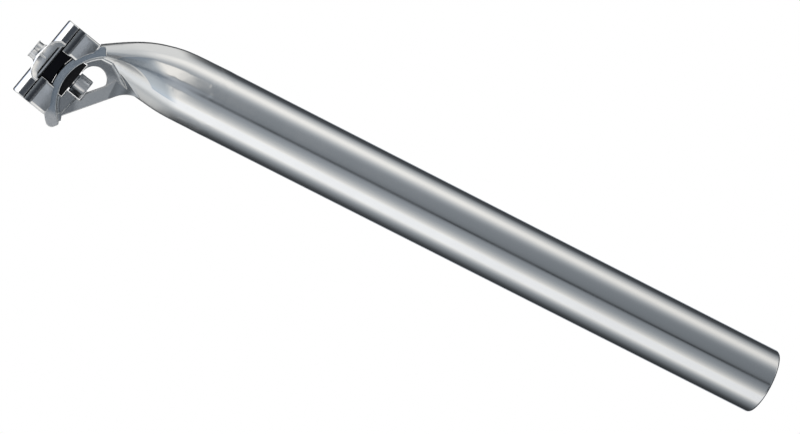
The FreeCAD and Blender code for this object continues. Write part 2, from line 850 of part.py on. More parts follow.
# The upper clamp: a half-round shell over each rail, a plate between them and a rib across both.
UPPER_BOTTOM = "rail_axis+clamp_gap/2"
SHELL_FOOT = "sqrt(shell_radius^2-(clamp_gap/2)^2)"
PLATE_TOP = "(" + UPPER_BOTTOM + "+plate_thickness)"
SHELL_INNER = "sqrt(shell_radius^2-(clamp_gap/2+plate_thickness)^2)"

upper_clamp = new_body("upper_clamp")
upper_profile = on_plane(upper_clamp, "upper_profile", "YZ_Plane")
outline(
    upper_profile,
    mirrored(
        [
            ("rail_spacing/2-" + GROOVE_HALF, UPPER_BOTTOM, "rail_radius", "right"),
            ("rail_spacing/2", "rail_axis+rail_radius", "rail_radius", "right"),
            ("rail_spacing/2+" + GROOVE_HALF, UPPER_BOTTOM),
            ("rail_spacing/2+" + SHELL_FOOT, UPPER_BOTTOM, "shell_radius", "left"),
            ("rail_spacing/2", "rail_axis+shell_radius", "shell_radius", "left"),
            ("rail_spacing/2-" + SHELL_INNER, PLATE_TOP),
        ]
    ),
)
pad(upper_clamp, upper_profile, "2*clamp_half_length")
waist = on_plane(upper_clamp, "waist", "XY_Plane")
for side in for_side:
    sign = "" if side > 0 else "-"
    outline(
        waist,
        [
            (sign + "clamp_waist_half", "-clamp_waist_width"),
            (sign + "(clamp_half_length+overrun)", "-clamp_waist_width"),
            (sign + "(clamp_half_length+overrun)", "clamp_waist_width"),
            (sign + "clamp_waist_half", "clamp_waist_width"),
        ],
    )
pocket(upper_clamp, waist, "4*rail_axis")
soften(
    upper_clamp,
    "waist_corners",
    "waist_round",
    lambda edge: upright(edge) and near(abs(edge.BoundBox.XMin), value("clamp_waist_half")),
)

soften(
    upper_clamp,
    "shell_ends",
    "shell_chamfer",
    lambda edge: near(abs(edge.BoundBox.XMin), value("clamp_half_length"))
    and near(edge.BoundBox.XLength, 0)
    and edge.BoundBox.ZMax > value("rail_axis+rail_radius+clamp_gap"),
    "Chamfer",
)

rib = on_plane(upper_clamp, "rib", "XZ_Plane")
outline(
    rib,
    [
        ("-rib_half", UPPER_BOTTOM),
        ("rib_half", UPPER_BOTTOM),
        ("rib_half", "rail_axis+rib_shoulder", "rib_round", "left"),
        ("rib_crown_half", "rail_axis+rib_height", "rib_crown_round", "left"),
        ("-rib_crown_half", "rail_axis+rib_height", "rib_round", "left"),
        ("-rib_half", "rail_axis+rib_shoulder"),
    ],
)
pad(upper_clamp, rib, "2*rib_outer")
soften(
    upper_clamp,
    "rib_edges",
    "rib_chamfer",
    lambda edge: near(abs(edge.BoundBox.YMin), value("rib_outer"))
    and near(edge.BoundBox.YLength, 0)
    and edge.BoundBox.ZMax > value(UPPER_BOTTOM + "+clamp_gap"),
    "Chamfer",
)
upper_groove = on_plane(upper_clamp, "upper_groove", "YZ_Plane")
ring(upper_groove, ("rail_spacing/2", "rail_axis"), "rail_radius")
ring(upper_groove, ("-rail_spacing/2", "rail_axis"), "rail_radius")
pocket(upper_clamp, upper_groove, "4*clamp_half_length")
rib_relief = on_plane(upper_clamp, "rib_relief", "XZ_Plane", "rib_relief_inner")
outline(
    rib_relief,
    [
        ("-rib_relief_half", UPPER_BOTTOM + "-clamp_gap"),
        ("rib_relief_half", UPPER_BOTTOM + "-clamp_gap"),
        ("rib_relief_half", UPPER_BOTTOM + "+clamp_gap"),
        ("rib_relief_top_half", "rail_axis+rib_relief_height"),
        ("-rib_relief_top_half", "rail_axis+rib_relief_height"),
        ("-rib_relief_half", UPPER_BOTTOM + "+clamp_gap"),
    ],
)


def both_sides(cut_feature, name):
    """Repeat a cut in the upper clamp on its other side."""
    mirror = upper_clamp.newObject("PartDesign::Mirrored", name)
    mirror.Originals = [cut_feature]
    plane = [thing for thing in upper_clamp.Origin.OriginFeatures if thing.Role == "XZ_Plane"][0]
    mirror.MirrorPlane = (plane, [""])
    upper_clamp.Tip = mirror
    doc.recompute()


both_sides(pocket(upper_clamp, rib_relief, "overrun", symmetric=False, reverse=True), "relief_mirror")

# A fine mark down the middle of each end of the rib, to set the saddle by.
rib_mark = on_plane(upper_clamp, "rib_mark", "XZ_Plane", "rib_outer-rib_mark_depth")
outline(
    rib_mark,
    [
        ("-rib_mark_half", "rail_axis+rib_mark_foot"),
        ("rib_mark_half", "rail_axis+rib_mark_foot"),
        ("rib_mark_half", "rail_axis+rib_height+rib_chamfer"),
        ("-rib_mark_half", "rail_axis+rib_height+rib_chamfer"),
    ],
)
both_sides(pocket(upper_clamp, rib_mark, "overrun", symmetric=False, reverse=True), "mark_mirror")

# The nut's round seat in the crown, its square pocket below and the bolt's hole.
CROWN = "(rail_axis+rib_height)"
nut_seat = on_plane(upper_clamp, "nut_seat", "XY_Plane", CROWN + "-nut_seat_depth")
ring(nut_seat, ("0", "0"), "nut_skirt_radius+nut_seat_clearance")
pocket(upper_clamp, nut_seat, "overrun", symmetric=False, reverse=True)
nut_pocket = on_plane(
    upper_clamp, "nut_pocket", "XY_Plane", CROWN + "-nut_seat_depth-nut_tongue_depth-nut_tongue_clearance"
)
TONGUE_ROOM = "(nut_tongue_half+nut_tongue_clearance)"
outline(
    nut_pocket,
    [
        ("-" + TONGUE_ROOM, "-" + TONGUE_ROOM),
        (TONGUE_ROOM, "-" + TONGUE_ROOM),
        (TONGUE_ROOM, TONGUE_ROOM),
        ("-" + TONGUE_ROOM, TONGUE_ROOM),
    ],
)
pocket(upper_clamp, nut_pocket, "overrun", symmetric=False, reverse=True)
upper_hole = on_plane(upper_clamp, "upper_hole", "XY_Plane")
ring(upper_hole, ("0", "0"), "bolt_radius+bolt_hole_clearance")
pocket(upper_clamp, upper_hole, "4*rail_axis")

# The half-moon washer: a slice of a round bar that fits the cradle's underside.
WASHER_TOP = "(inner_radius-washer_clearance)"
half_moon_washer = new_body("half_moon_washer")
washer_side = on_plane(half_moon_washer, "washer_side", "XZ_Plane")
outline(
    washer_side,
    [
        ("-washer_half_length", "washer_bottom"),
        ("washer_half_length", "washer_bottom"),
        (
            "washer_half_length",
            "sqrt(" + WASHER_TOP + "^2-washer_half_length^2)",
            WASHER_TOP,
            "left",
        ),
        ("-washer_half_length", "sqrt(" + WASHER_TOP + "^2-washer_half_length^2)"),
    ],
)
pad(half_moon_washer, washer_side, "2*washer_half_width")
washer_hole = on_plane(half_moon_washer, "washer_hole", "XY_Plane")
ring(washer_hole, ("0", "0"), "bolt_radius+bolt_hole_clearance")
pocket(half_moon_washer, washer_hole, "4*rail_axis")
soften(
    half_moon_washer,
    "washer_corners",
    "washer_end_round",
    lambda edge: upright(edge) and near(abs(edge.BoundBox.XMin), value("washer_half_length")),
)

# The bolt: a socket head below, a collar against the washer and a shank up into the nut.
HEAD_TOP = "(washer_bottom-bolt_collar_height)"
NUT_TOP = "(" + CROWN + "-nut_seat_depth+nut_height)"
clamp_bolt = new_body("clamp_bolt")
bolt_profile = on_plane(clamp_bolt, "bolt_profile", "XZ_Plane")
outline(
    bolt_profile,
    [
        ("0", HEAD_TOP + "-bolt_head_height"),
        ("bolt_head_radius-bolt_chamfer", HEAD_TOP + "-bolt_head_height"),
        ("bolt_head_radius", HEAD_TOP + "-bolt_head_height+bolt_chamfer"),
        ("bolt_head_radius", HEAD_TOP + "-bolt_head_edge"),
        ("bolt_head_radius-bolt_head_edge", HEAD_TOP),
        ("bolt_collar_radius", HEAD_TOP),
        ("bolt_collar_radius", "washer_bottom"),
        ("bolt_radius", "washer_bottom"),
        ("bolt_radius", NUT_TOP + "-bolt_end_inset-bolt_chamfer"),
        ("bolt_radius-bolt_chamfer", NUT_TOP + "-bolt_end_inset"),
        ("0", NUT_TOP + "-bolt_end_inset"),
    ],
)
revolve(clamp_bolt, bolt_profile)
socket = on_plane(clamp_bolt, "socket", "XY_Plane", HEAD_TOP + "-bolt_head_height")
SOCKET_CORNER = "(bolt_socket_flats/sqrt(3))"
outline(
    socket,
    [
        (SOCKET_CORNER, "0"),
        (SOCKET_CORNER + "/2", "bolt_socket_flats/2"),
        ("-" + SOCKET_CORNER + "/2", "bolt_socket_flats/2"),
        ("-" + SOCKET_CORNER, "0"),
        ("-" + SOCKET_CORNER + "/2", "-bolt_socket_flats/2"),
        (SOCKET_CORNER + "/2", "-bolt_socket_flats/2"),
    ],
)
pocket(clamp_bolt, socket, "bolt_socket_depth", symmetric=False, reverse=True)

# The nut: a flared skirt on the rib's crown, a round body, and a square tongue in the pocket below.
NUT_FOOT = "(" + CROWN + "-nut_seat_depth)"
clamp_nut = new_body("clamp_nut")
nut_profile = on_plane(clamp_nut, "nut_profile", "XZ_Plane")
outline(
    nut_profile,
    [
        ("bolt_radius+nut_thread_clearance", NUT_FOOT),
        ("nut_skirt_radius", NUT_FOOT),
        ("nut_skirt_radius", NUT_FOOT + "+nut_lip"),
        ("nut_flare_radius", NUT_FOOT + "+nut_flare_height"),
        ("nut_radius", NUT_FOOT + "+nut_skirt_height"),
        ("nut_radius", NUT_FOOT + "+nut_height-nut_lip_height"),
        ("nut_radius+nut_lip", NUT_FOOT + "+nut_height-nut_lip_height+nut_lip"),
        ("nut_radius+nut_lip", NUT_FOOT + "+nut_height-nut_lip"),
        ("nut_radius", NUT_FOOT + "+nut_height"),
        ("bolt_radius+nut_thread_clearance", NUT_FOOT + "+nut_height"),
    ],
)
revolve(clamp_nut, nut_profile)
tongue = on_plane(clamp_nut, "tongue", "XY_Plane", NUT_FOOT)
outline(
    tongue,
    [
        ("-nut_tongue_half", "-nut_tongue_half"),
        ("nut_tongue_half", "-nut_tongue_half"),
        ("nut_tongue_half", "nut_tongue_half"),
        ("-nut_tongue_half", "nut_tongue_half"),
    ],
)
ring(tongue, ("0", "0"), "bolt_radius+nut_thread_clearance")
pad(clamp_nut, tongue, "nut_tongue_depth", symmetric=False, reverse=True)

PIECES = {
    "post": post,
    "lower_clamp": lower_clamp,
    "upper_clamp": upper_clamp,
    "half_moon_washer": half_moon_washer,
    "clamp_bolt": clamp_bolt,
    "clamp_nut": clamp_nut,
}

doc.recompute()
for thing in doc.Objects:
    if "Invalid" in thing.State or "Error" in thing.State:
        raise ValueError(thing.Name + " did not build")
for node, piece in PIECES.items():
    piece.Label = node
    if piece.Shape.isNull() or not piece.Shape.isValid():
        raise ValueError(node + " has no valid shape")
    print(node, "solids", len(piece.Shape.Solids), "volume", round(piece.Shape.Volume, 1))
for node, piece in PIECES.items():
    piece.Shape.exportStep("parts/" + node + ".step")
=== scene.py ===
import math

import bmesh
import bpy
from mathutils import Matrix, Vector


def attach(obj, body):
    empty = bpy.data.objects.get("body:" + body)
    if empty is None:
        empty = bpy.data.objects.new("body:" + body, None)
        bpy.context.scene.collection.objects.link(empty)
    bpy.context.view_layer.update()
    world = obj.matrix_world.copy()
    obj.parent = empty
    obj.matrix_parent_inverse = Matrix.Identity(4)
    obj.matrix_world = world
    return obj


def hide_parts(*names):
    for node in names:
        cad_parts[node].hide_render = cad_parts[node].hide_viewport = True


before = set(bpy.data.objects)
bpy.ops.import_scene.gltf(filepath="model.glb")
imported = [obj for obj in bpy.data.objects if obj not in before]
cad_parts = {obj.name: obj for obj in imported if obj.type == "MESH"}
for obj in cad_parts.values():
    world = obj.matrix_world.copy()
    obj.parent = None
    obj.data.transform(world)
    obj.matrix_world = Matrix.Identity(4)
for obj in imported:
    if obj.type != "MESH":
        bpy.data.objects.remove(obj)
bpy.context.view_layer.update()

# Camera: level with the saddle clamp, 1.14 m to the bicycle's right, looking down a little.
# It is rolled, so that the post runs across the picture with its head at the upper left.
CAMERA_PLACE = Vector((-0.0079, -1.137, 0.350))
CAMERA_AIM = Vector((-0.0079, 0.0, 0.183))
CAMERA_ROLL = math.radians(63.1)
CAMERA_LENS = 116.3

look = (CAMERA_AIM - CAMERA_PLACE).normalized()
level = look.cross(Vector((0, 0, 1))).normalized()
lift = level.cross(look)
right = math.cos(CAMERA_ROLL) * level - math.sin(CAMERA_ROLL) * lift
above = math.sin(CAMERA_ROLL) * level + math.cos(CAMERA_ROLL) * lift
camera_data = bpy.data.cameras.new("camera")
camera_data.lens = CAMERA_LENS
camera = bpy.data.objects.new("camera", camera_data)
camera.matrix_world = Matrix((
    (right.x, above.x, -look.x, CAMERA_PLACE.x),
    (right.y, above.y, -look.y, CAMERA_PLACE.y),
    (right.z, above.z, -look.z, CAMERA_PLACE.z),
    (0, 0, 0, 1),
))
bpy.context.scene.collection.objects.link(camera)
bpy.context.scene.camera = camera
bpy.context.scene.view_settings.view_transform = "Standard"


# Studio: a soft tent with bright walls at both sides, a bright roof and grey cloth in front. A narrow slit
# for the camera leaves the dark line down the tube. The camera sees plain white past the object, and so
# does polished metal where it mirrors what is straight behind.
def fill_inputs(tree, node, inputs):
    """Give each named input of a node a number, a colour or a link."""
    for socket, source in inputs.items():
        if isinstance(source, bpy.types.NodeSocket):
            tree.links.new(source, node.inputs[socket])
        else:
            node.inputs[socket].default_value = source


def add_node(tree, kind, inputs=None, **settings):
    """A shader node with its settings and inputs."""
    made = tree.nodes.new("ShaderNode" + kind)
    for setting, choice in settings.items():
        setattr(made, setting, choice)
    fill_inputs(tree, made, inputs or {})
    return made


def add_math(tree, operation, first, second=0.0):
    return add_node(tree, "Math", {0: first, 1: second}, operation=operation).outputs[0]


def add_product(tree, *factors):
    """The product of two or more numbers or masks."""
    product = factors[0]
    for factor in factors[1:]:
        product = add_math(tree, "MULTIPLY", product, factor)
    return product


def add_step(tree, source, start, end, low=0.0, high=1.0):
    """A smooth rise from low to high while the source goes from start to end."""
    made = add_node(
        tree,
        "MapRange",
        {"Value": source, "From Min": start, "From Max": end, "To Min": low, "To Max": high},
        interpolation_type="SMOOTHSTEP",
    )
    return made.outputs["Result"]


def add_fall(tree, source, start, end):
    """A smooth fall from one to zero while the source goes from start to end."""
    return add_step(tree, source, start, end, 1.0, 0.0)


def add_band(tree, source, start, end, softness):
    """One between start and end, with a soft step at each."""
    return add_product(
        tree,
        add_step(tree, source, start - softness, start + softness),
        add_fall(tree, source, end - softness, end + softness),
    )


def add_blend(tree, share, first, second):
    """A share of the way from the first colour or number to the second. A colour is given as a tuple."""
    if isinstance(second, tuple):
        return add_node(tree, "Mix", {0: share, 6: first, 7: second}, data_type="RGBA").outputs[2]
    return add_node(tree, "Mix", {0: share, 2: first, 3: second}, data_type="FLOAT").outputs[0]


# The cloth is a little cool where it is dim and warm where it is bright. Red, green and blue of each tint.
COOL_TINT = (0.918, 1.0, 1.08)
WARM_TINT = (1.04, 1.0, 0.935)
BLUE_TINT = (-0.10, -0.04, 0.14)
WARM_FROM = 0.3
WARM_FULL = 0.9


def studio_tone(strength, blue=0.0):
    """The colour of the tent's cloth at this brightness, with a share of blue."""
    warmth = min(max((strength - WARM_FROM) / (WARM_FULL - WARM_FROM), 0), 1)
    tint = [
        cool + (warm - cool) * warmth + bluer * blue
        for cool, warm, bluer in zip(COOL_TINT, WARM_TINT, BLUE_TINT)
    ]
    return (strength * tint[0], strength * tint[1], strength * tint[2], 1)


# Walls at the height of the tube: azimuth from the camera's side, in degrees, and brightness there.
TENT_WALLS = (
    (-180, 0.01), (-128, 0.04), (-100, 0.28), (-82, 0.60), (-60, 1.70), (-45, 0.82), (-25, 0.385),
    (-8, 0.285), (-3, 0.21), (0, 0.0), (3, 0.11), (8, 0.20), (25, 0.24), (45, 0.24), (62, 0.50),
    (80, 1.10), (95, 0.72), (115, 0.26), (128, 0.06), (180, 0.01),
)
# Cloth laid over the walls, each over those before it: whether it hangs on both sides, azimuth from and to,
# elevation from and to, softness, all in degrees, then brightness, and how blue it is.
TENT_CLOTHS = (
    (True, 28, 62, 14, 60, 8, 0.34, 0.0),
    (True, 62, 118, 16, 60, 12, 0.62, 0.0),
    (True, 95, 150, 1, 46, 5, 0.75, 0.0),
    (False, -6, 30, 14, 60, 4, 0.07, 0.6),
    (True, -20, 118, 62, 82, 5, 1.0, 0.0),
    (True, -20, 118, 82, 110, 5, 0.80, 0.9),
    (True, 118, 200, 46, 110, 7, 0.60, 1.0),
    (True, 158, 200, -75, -3, 6, 0.42, 0.3),
    (True, -20, 14, -2, 4, 2.5, 0.42, 0.2),
    (True, 5, 50, 4, 10.5, 2, 0.95, 0.0),
    (True, 17, 50, -0.5, 10.5, 1.5, 0.95, 0.0),
    (False, -34, -4, -64, -20, 3, 0.03, 0.8),
    (False, -3, 14, -44, -23, 3, 0.30, 0.0),
    (True, -20, 200, -110, -66, 8, 0.45, 0.0),
)
# The walls are a little dimmer near the ground: elevation from and to, and the share of light at the lower.
WALL_FOOT = (math.radians(-17), math.radians(-6), 0.86)
BACKDROP_HALF = math.radians(8)
BACKDROP_EDGE = math.radians(2)

world = bpy.data.worlds.new("studio")
bpy.context.scene.world = world
world.use_nodes = True
tree = world.node_tree
tree.nodes.clear()
direction = add_node(tree, "TexCoord").outputs["Generated"]
sides = add_node(tree, "SeparateXYZ", {"Vector": direction}).outputs
to_camera = add_math(tree, "MULTIPLY", sides["Y"], -1.0)
azimuth = add_math(tree, "ARCTAN2", sides["X"], to_camera)
elevation = add_math(tree, "ARCSINE", sides["Z"])
around_once = add_node(tree, "MapRange", {"Value": azimuth, "From Min": -math.pi, "From Max": math.pi})
walls = add_node(tree, "ValToRGB", {"Fac": around_once.outputs["Result"]})
stops = walls.color_ramp.elements
walls.color_ramp.interpolation = "B_SPLINE"
while len(stops) < len(TENT_WALLS):
    stops.new(1.0)
# The stops sort themselves as they move, so all the places are set before the colours.
for stop, (where, _) in zip(stops, TENT_WALLS):
    stop.position = (where + 180) / 360
for stop, (_, strength) in zip(stops, TENT_WALLS):
    stop.color = studio_tone(strength)
cloth = add_node(
    tree,
    "VectorMath",
    {0: walls.outputs["Color"], "Scale": add_step(tree, elevation, *WALL_FOOT)},
    operation="SCALE",
).outputs[0]
off_front = add_math(tree, "ABSOLUTE", azimuth)
for both_sides, from_side, to_side, low, high, softness, strength, blue in TENT_CLOTHS:
    around = off_front if both_sides else azimuth
    soft = math.radians(softness)
    here = add_product(
        tree,
        add_band(tree, around, math.radians(from_side), math.radians(to_side), soft),
        add_band(tree, elevation, math.radians(low), math.radians(high), soft),
    )
    cloth = add_blend(tree, here, cloth, studio_tone(strength, blue))
behind = add_step(
    tree, sides["Y"], math.cos(BACKDROP_HALF + BACKDROP_EDGE), math.cos(BACKDROP_HALF - BACKDROP_EDGE)
)
path = add_node(tree, "LightPath").outputs
mirrored = add_math(tree, "MAXIMUM", path["Is Glossy Ray"], path["Is Transmission Ray"])
sees_white = add_math(tree, "MAXIMUM", path["Is Camera Ray"], add_product(tree, mirrored, behind))
tent = add_node(tree, "Background", {"Color": cloth})
white = add_node(tree, "Background", {"Color": (1, 1, 1, 1)})
seen = add_node(tree, "MixShader", {"Fac": sees_white, 1: tent.outputs[0], 2: white.outputs[0]})
add_node(tree, "OutputWorld", {"Surface": seen.outputs[0]})

LAMP_HEIGHT = 1.5
LAMP_SIZE = 1.2
LAMP_WATTS = 4.0
lamp_data = bpy.data.lights.new("roof_lamp", "AREA")
lamp_data.shape = "SQUARE"
lamp_data.size = LAMP_SIZE
lamp_data.energy = LAMP_WATTS
lamp = bpy.data.objects.new("roof_lamp", lamp_data)
lamp.location = (0, 0, LAMP_HEIGHT)
bpy.context.scene.collection.objects.link(lamp)

# Floor: a round sheet of white paper under the cut end. It lies 45 mm lower, because a mount holds the post
# up, and so the polished tube hardly mirrors it. It fades out all round, and keeps the post's soft shadow.
FLOOR_DROP = 0.045
FLOOR_RADIUS = 0.034
FLOOR_SOLID = 0.0165
FLOOR_SIDES = 96
FLOOR_GLOW = 0.45
PAPER_DARK = (0.88, 0.88, 0.88, 1)
PAPER_LIGHT = (0.92, 0.92, 0.92, 1)
PAPER_FIBRES = 900.0
floor_mesh = bpy.data.meshes.new("floor")
rim = [2 * math.pi * step / FLOOR_SIDES for step in range(FLOOR_SIDES)]
floor_mesh.from_pydata(
    [(FLOOR_RADIUS * math.cos(turn), FLOOR_RADIUS * math.sin(turn), -FLOOR_DROP) for turn in rim],
    [],
    [list(range(FLOOR_SIDES))],
)
floor = bpy.data.objects.new("floor", floor_mesh)
bpy.context.scene.collection.objects.link(floor)


def new_material(name):
    """A material with nodes, and its tree."""
    made = bpy.data.materials.new(name)
    made.use_nodes = True
    return made, made.node_tree


paper, tree = new_material("white_paper")
tree.nodes.clear()
position = add_node(tree, "TexCoord").outputs["Object"]
fibres = add_node(tree, "TexNoise", {"Vector": position, "Scale": PAPER_FIBRES, "Detail": 3.0})
tone = add_blend(tree, fibres.outputs["Fac"], PAPER_DARK, PAPER_LIGHT)
path = add_node(tree, "LightPath").outputs
mirrored = add_math(tree, "MAXIMUM", path["Is Glossy Ray"], path["Is Transmission Ray"])
shows = add_math(tree, "MAXIMUM", path["Is Camera Ray"], mirrored)
glow = add_node(tree, "Emission", {"Strength": add_product(tree, shows, FLOOR_GLOW)})
matt = add_node(tree, "BsdfDiffuse", {"Color": tone})
sheet = add_node(tree, "AddShader", {0: matt.outputs[0], 1: glow.outputs[0]})
from_middle = add_node(tree, "VectorMath", {0: position}, operation="LENGTH").outputs["Value"]
fade = add_step(tree, from_middle, FLOOR_SOLID, FLOOR_RADIUS)
past = add_node(tree, "BsdfTransparent")
faded = add_node(tree, "MixShader", {"Fac": fade, 1: sheet.outputs[0], 2: past.outputs[0]})
add_node(tree, "OutputMaterial", {"Surface": faded.outputs[0]})
floor_mesh.materials.append(paper)


# Post: one aluminium forging, its tube drawn and polished lengthwise and its head left with the forging's
# fine skin, all clear anodised. The cradle's machined edge face gets a painted shade, a little darker and
# bluer.
def effect(name, inputs, outputs):
    """An empty shader group with named number, vector or colour sockets."""
    group = bpy.data.node_groups.new(name, "ShaderNodeTree")
    for socket, kind in inputs.items():
        group.interface.new_socket(socket, in_out="INPUT", socket_type="NodeSocket" + kind)
    for socket, kind in outputs.items():
        group.interface.new_socket(socket, in_out="OUTPUT", socket_type="NodeSocket" + kind)
    return group, group.nodes.new("NodeGroupInput").outputs, group.nodes.new("NodeGroupOutput").inputs


def use_effect(tree, group, inputs):
    made = tree.nodes.new("ShaderNodeGroup")
    made.node_tree = group
    fill_inputs(tree, made, inputs)
    return made.outputs


# Haze: broad patches where the surface has been handled.
handled, given, put_out = effect("handled", {"Position": "Vector", "Scale": "Float"}, {"Haze": "Float"})
cloud = add_node(
    handled, "TexNoise",
    {"Vector": given["Position"], "Scale": given["Scale"], "Detail": 5.0, "Roughness": 0.62},
)
handled.links.new(add_step(handled, cloud.outputs["Fac"], 0.3, 0.7), put_out["Haze"])

# Grain: fine lines that run the way the metal was drawn or rubbed.
grain, given, put_out = effect(
    "grain", {"Position": "Vector", "Stretch": "Vector", "Scale": "Float"}, {"Height": "Float"}
)
stretched = add_node(
    grain, "VectorMath", {0: given["Position"], 1: given["Stretch"]}, operation="MULTIPLY"
).outputs[0]
lines = add_node(grain, "TexNoise", {"Vector": stretched, "Scale": given["Scale"], "Detail": 4.0})
grain.links.new(lines.outputs["Fac"], put_out["Height"])

# Skin: the shallow dimples of a tumbled forging.
skin, given, put_out = effect("forged_skin", {"Position": "Vector", "Scale": "Float"}, {"Height": "Float"})
dimples = add_node(skin, "TexVoronoi", {"Vector": given["Position"], "Scale": given["Scale"]},
                   feature="SMOOTH_F1")
rough = add_node(skin, "TexNoise", {"Vector": given["Position"], "Scale": given["Scale"], "Detail": 4.0})
skin.links.new(
    add_math(skin, "ADD", dimples.outputs["Distance"], rough.outputs["Fac"]), put_out["Height"]
)


def along(tree, place, way):
    """How far a place lies along a direction, or how nearly two directions agree."""
    return add_node(tree, "VectorMath", {0: place, 1: way}, operation="DOT_PRODUCT").outputs["Value"]


# Edge: where a face turns into the next one, tumbling has rounded it, and the mask marks it for a painted
# highlight. It shows from where the rounded and the flat normal begin to differ to where they differ
# clearly.
EDGE_SHOWS = (0.995, 0.90)
edge, given, put_out = effect("tumbled_edge", {"Radius": "Float"}, {"Normal": "Vector", "Edge": "Float"})
rounded = add_node(edge, "Bevel", {"Radius": given["Radius"]}, samples=8).outputs["Normal"]
flat = add_node(edge, "NewGeometry").outputs["Normal"]
edge.links.new(rounded, put_out["Normal"])
edge.links.new(add_step(edge, along(edge, rounded, flat), *EDGE_SHOWS), put_out["Edge"])

CRADLE_CENTRE = Vector((-0.023, 0.0, 0.321))
TUBE_COLOUR = (0.86, 0.875, 0.89, 1)
TUBE_HANDLED = (0.835, 0.85, 0.87, 1)
HEAD_COLOUR = (0.78, 0.80, 0.82, 1)
# Painted shade: the cradle's edge face is darker and bluer, the way it looks between the clamp's ears.
CRADLE_SHADE = (0.52, 0.585, 0.66, 1)
# Painted highlight: a near-white line along the edges.
EDGE_HIGHLIGHT = (0.95, 0.95, 0.94, 1)
# Painted highlight: the cradle's nose is near white.
NOSE_HIGHLIGHT = (0.98, 0.98, 0.985, 1)
# Painted shadow: the recess near the cradle is darker, as if under the cradle's shade.
RECESS_SHADE = (0.44, 0.46, 0.485, 1)
# Painted shade: a near-black line round the tube's cut end.
CUT_RIM_SHADE = (0.045, 0.05, 0.065, 1)
TUBE_ROUGHNESS = (0.10, 0.15)
HEAD_ROUGHNESS = (0.20, 0.27)
POST_HAZE = 26.0
POST_EDGE = 0.00045
DRAWN_LINES = {"Stretch": (1, 1, 0.015), "Scale": 1700.0}
DRAWN_SHARE = 0.35
HEAD_SKIN = 1400.0
POST_BUMP = {"Strength": 0.35, "Distance": 0.00002}
# Where the post's finishes and its painted highlight and shades meet, in metres from the cradle's centre.
# Each pair is the start and the end of a soft step: outwards from the cradle's axis, across from the middle,
# or along to the front.
HEAD_ENDS = (0.0262, 0.0312)
FLANGE_INSIDE = (0.0211, 0.0216)
FLANGE_SIDE = (0.01305, 0.01315)
NOSE_ENDS = (-0.0145, -0.0110)
RECESS_STARTS = (0.0115, 0.0150)
RECESS_ENDS = (0.0205, 0.0211)
# The painted shadow in the recess lies only where it faces sideways, and the painted dark line at the cut
# rim only at the very end of the tube.
RECESS_FACING = (0.93, 0.98)
CUT_RIM = (0.0005, 0.0008)


def from_centre(tree, position):
    """A place on the part as seen from the cradle's centre."""
    return add_node(tree, "VectorMath", {0: position, 1: CRADLE_CENTRE}, operation="SUBTRACT").outputs[0]


anodised, tree = new_material("clear_anodised")
position = add_node(tree, "TexCoord").outputs["Object"]
from_cradle = from_centre(tree, position)
parts = add_node(tree, "SeparateXYZ", {"Vector": from_cradle}).outputs
side_on = add_node(tree, "CombineXYZ", {"X": parts["X"], "Z": parts["Z"]}).outputs[0]
reach = add_node(tree, "VectorMath", {0: side_on}, operation="LENGTH").outputs["Value"]
across = add_math(tree, "ABSOLUTE", parts["Y"])
in_head = add_fall(tree, reach, *HEAD_ENDS)
on_flange = add_product(
    tree, add_step(tree, reach, *FLANGE_INSIDE), in_head, add_step(tree, across, *FLANGE_SIDE)
)
before_nose = add_step(tree, parts["X"], *NOSE_ENDS)
nose_highlight = add_product(tree, on_flange, add_math(tree, "SUBTRACT", 1.0, before_nose))
cradle_shade = add_product(tree, on_flange, before_nose)
haze = use_effect(tree, handled, {"Position": position, "Scale": POST_HAZE})["Haze"]
edges = use_effect(tree, edge, {"Radius": POST_EDGE})
drawn = use_effect(tree, grain, {"Position": position, **DRAWN_LINES})["Height"]
forged = use_effect(tree, skin, {"Position": position, "Scale": HEAD_SKIN})["Height"]
normal = add_node(tree, "SeparateXYZ", {"Vector": add_node(tree, "NewGeometry").outputs["Normal"]}).outputs
facing = add_math(tree, "ABSOLUTE", normal["Y"])
recess_shade = add_product(
    tree,
    add_step(tree, reach, *RECESS_STARTS),
    add_fall(tree, reach, *RECESS_ENDS),
    add_step(tree, facing, *RECESS_FACING),
)
from_cut = add_node(tree, "SeparateXYZ", {"Vector": position}).outputs["Z"]
tone = add_blend(tree, in_head, add_blend(tree, haze, TUBE_COLOUR, TUBE_HANDLED), HEAD_COLOUR)
# Painted light over the finish: shade in the recess, a darker, bluer shade on the cradle's edge, a highlight
# on the nose, highlights along the head's edges and a dark line round the cut end.
for share, colour in (
    (recess_shade, RECESS_SHADE),
    (cradle_shade, CRADLE_SHADE),
    (nose_highlight, NOSE_HIGHLIGHT),
    (add_product(tree, edges["Edge"], in_head), EDGE_HIGHLIGHT),
    (add_fall(tree, from_cut, *CUT_RIM), CUT_RIM_SHADE),
):
    tone = add_blend(tree, share, tone, colour)
dull = add_blend(
    tree,
    in_head,
    add_step(tree, haze, 0.0, 1.0, *TUBE_ROUGHNESS),
    add_step(tree, haze, 0.0, 1.0, *HEAD_ROUGHNESS),
)
relief = add_blend(tree, in_head, add_product(tree, drawn, DRAWN_SHARE), forged)
bump = add_node(tree, "Bump", {**POST_BUMP, "Height": relief, "Normal": edges["Normal"]})
fill_inputs(tree, tree.nodes["Principled BSDF"], {
    "Metallic": 1, "Base Color": tone, "Roughness": dull, "Normal": bump.outputs["Normal"]
})
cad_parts["post"].material_slots[0].material = anodised

# Saddle clamp: two aluminium forgings with a channel for each rail between them, tumbled and polished.
# The lower one has two ears on each side and rocks on the cradle; the upper one has a rib across it.
CLAMP_COLOUR = (0.86, 0.87, 0.885, 1)
CLAMP_SHADE = (0.80, 0.815, 0.835, 1)
# Painted shadow: near black in the notch between the ears, under the rib's arch and in the gap between the
# forgings.
CLAMP_PAINTED_SHADOW = (0.014, 0.014, 0.017, 1)
